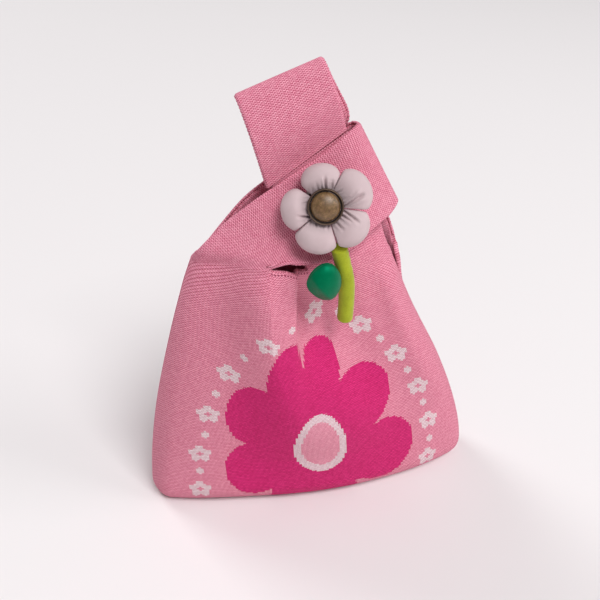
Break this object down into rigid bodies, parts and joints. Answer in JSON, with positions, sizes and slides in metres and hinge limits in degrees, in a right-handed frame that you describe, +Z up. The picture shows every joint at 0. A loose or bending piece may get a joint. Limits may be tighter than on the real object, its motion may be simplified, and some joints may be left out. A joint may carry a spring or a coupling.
{
  "type": "knitted handbag",
  "caption": "Soft knitted knot bag: a shaped pouch whose short handle wraps the long handle's wrist loop, with a stuffed flower charm pinned to the band.",
  "frame": {"origin": "middle of the base on the floor, in the plane of the side and bottom seams", "axes": "+Z up, +X to the right of the front, -Y towards the front, where the flower charm is"},
  "size_m": [0.2301, 0.0929, 0.3],
  "materials": {
    "pink_knit": "thick double-sided jacquard knit, matt",
    "seam_yarn": "linking yarn, matt",
    "petal_cotton": "stuffed cotton, matt, pinkish white",
    "button_shell": "brown, finely mottled, low sheen",
    "dark_bronze": "darkened metal, satin",
    "black_felt": "felt and thread, matt",
    "pin_steel": "plated steel",
    "lime_plush": "short pile, stuffed",
    "green_satin": "stuffed satin, soft sheen"
  },
  "bodies": {
    "bag": {"front_panel": "pink_knit", "back_panel": "pink_knit", "left_side_seam": "seam_yarn", "right_side_seam": "seam_yarn", "bottom_seam": "seam_yarn", "short_handle_front": "pink_knit", "short_handle_back": "pink_knit", "short_handle_seam": "seam_yarn", "long_handle_front_leg": "pink_knit", "long_handle_back_leg": "pink_knit"},
    "loop": {"wrist_loop": "pink_knit", "wrist_loop_seam": "seam_yarn"},
    "flower": {"petal_1": "petal_cotton", "petal_2": "petal_cotton", "petal_3": "petal_cotton", "petal_4": "petal_cotton", "petal_5": "petal_cotton", "button_dome": "button_shell", "button_rim": "dark_bronze", "button_back": "dark_bronze", "flower_backing": "black_felt", "centre_thread": "black_felt", "pin_bar": "pin_steel", "pin_arm": "pin_steel"},
    "lock": {"pin_lock": "pin_steel"},
    "stem": {"stem": "lime_plush"},
    "leaf": {"leaf": "green_satin"}
  },
  "joints": [
    {"name": "wrist_loop_fold", "type": "hinge", "parent": "bag", "child": "loop", "pos_m": [-0.015, -0.009, 0.251], "axis": [0.8339, 0, 0.5519], "range_deg": [-55, 55]},
    {"name": "flower_tilt", "type": "hinge", "parent": "bag", "child": "flower", "pos_m": [-0.00604, -0.02522, 0.23087], "axis": [-0.9703, 0.2419, 0], "range_deg": [0, 11]},
    {"name": "pin_lock_turn", "type": "hinge", "parent": "flower", "child": "lock", "pos_m": [0.00172, -0.02715, 0.23087], "axis": [-0.9703, 0.2419, 0], "range_deg": [0, 100]},
    {"name": "stem_swing", "type": "hinge", "parent": "flower", "child": "stem", "pos_m": [-0.00189, -0.04242, 0.20856], "axis": [0, -1, 0], "range_deg": [-5, 5]},
    {"name": "leaf_flap", "type": "hinge", "parent": "stem", "child": "leaf", "pos_m": [-0.00112, -0.04977, 0.187], "axis": [0, 0, 1], "range_deg": [0, 45], "stiffness_Nm_per_rad": 0.0005}
  ]
}
